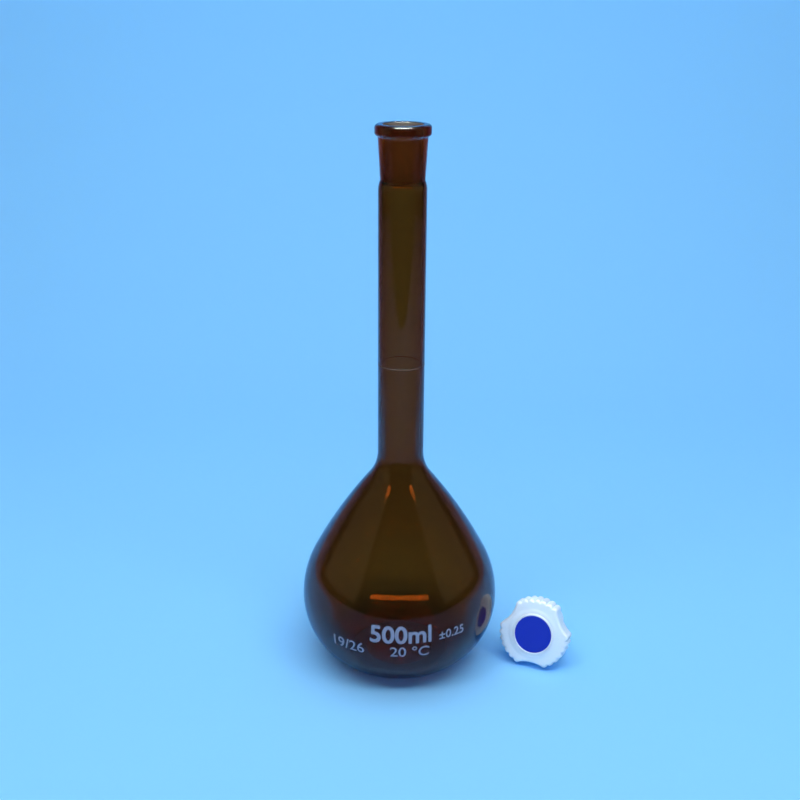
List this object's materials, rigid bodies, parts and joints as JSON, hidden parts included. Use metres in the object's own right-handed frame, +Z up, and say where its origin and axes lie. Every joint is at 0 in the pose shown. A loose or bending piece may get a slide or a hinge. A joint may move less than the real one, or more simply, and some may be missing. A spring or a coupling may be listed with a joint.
{
  "type": "volumetric flask",
  "caption": "Amber glass volumetric flask with a pear-shaped bulb, long narrow neck and ground socket, with its hollow plastic stopper lying beside it.",
  "frame": {"origin": "middle of the flask's base, in the plane it stands on", "axes": "+Z up along the neck, -Y towards the printed face, +X towards the stopper lying beside the flask"},
  "size_m": [0.1406, 0.1006, 0.2755],
  "materials": {
    "amber_glass": "clear dark amber, frosted inside the socket",
    "mark_enamel": "fired enamel, satin",
    "white_plastic": "translucent white polyethylene",
    "blue_plastic": "satin"
  },
  "bodies": {
    "flask": {"bulb": "amber_glass", "neck_tube": "amber_glass", "ground_socket": "amber_glass", "graduation_ring": "mark_enamel"},
    "stopper": {"stopper_shell": "white_plastic", "stopper_disc": "blue_plastic"}
  },
  "joints": [
    {"name": "stopper_lift", "type": "slide", "parent": "flask", "child": "stopper", "axis": [0, 0, 1], "range_m": [0, 0.32]}
  ]
}
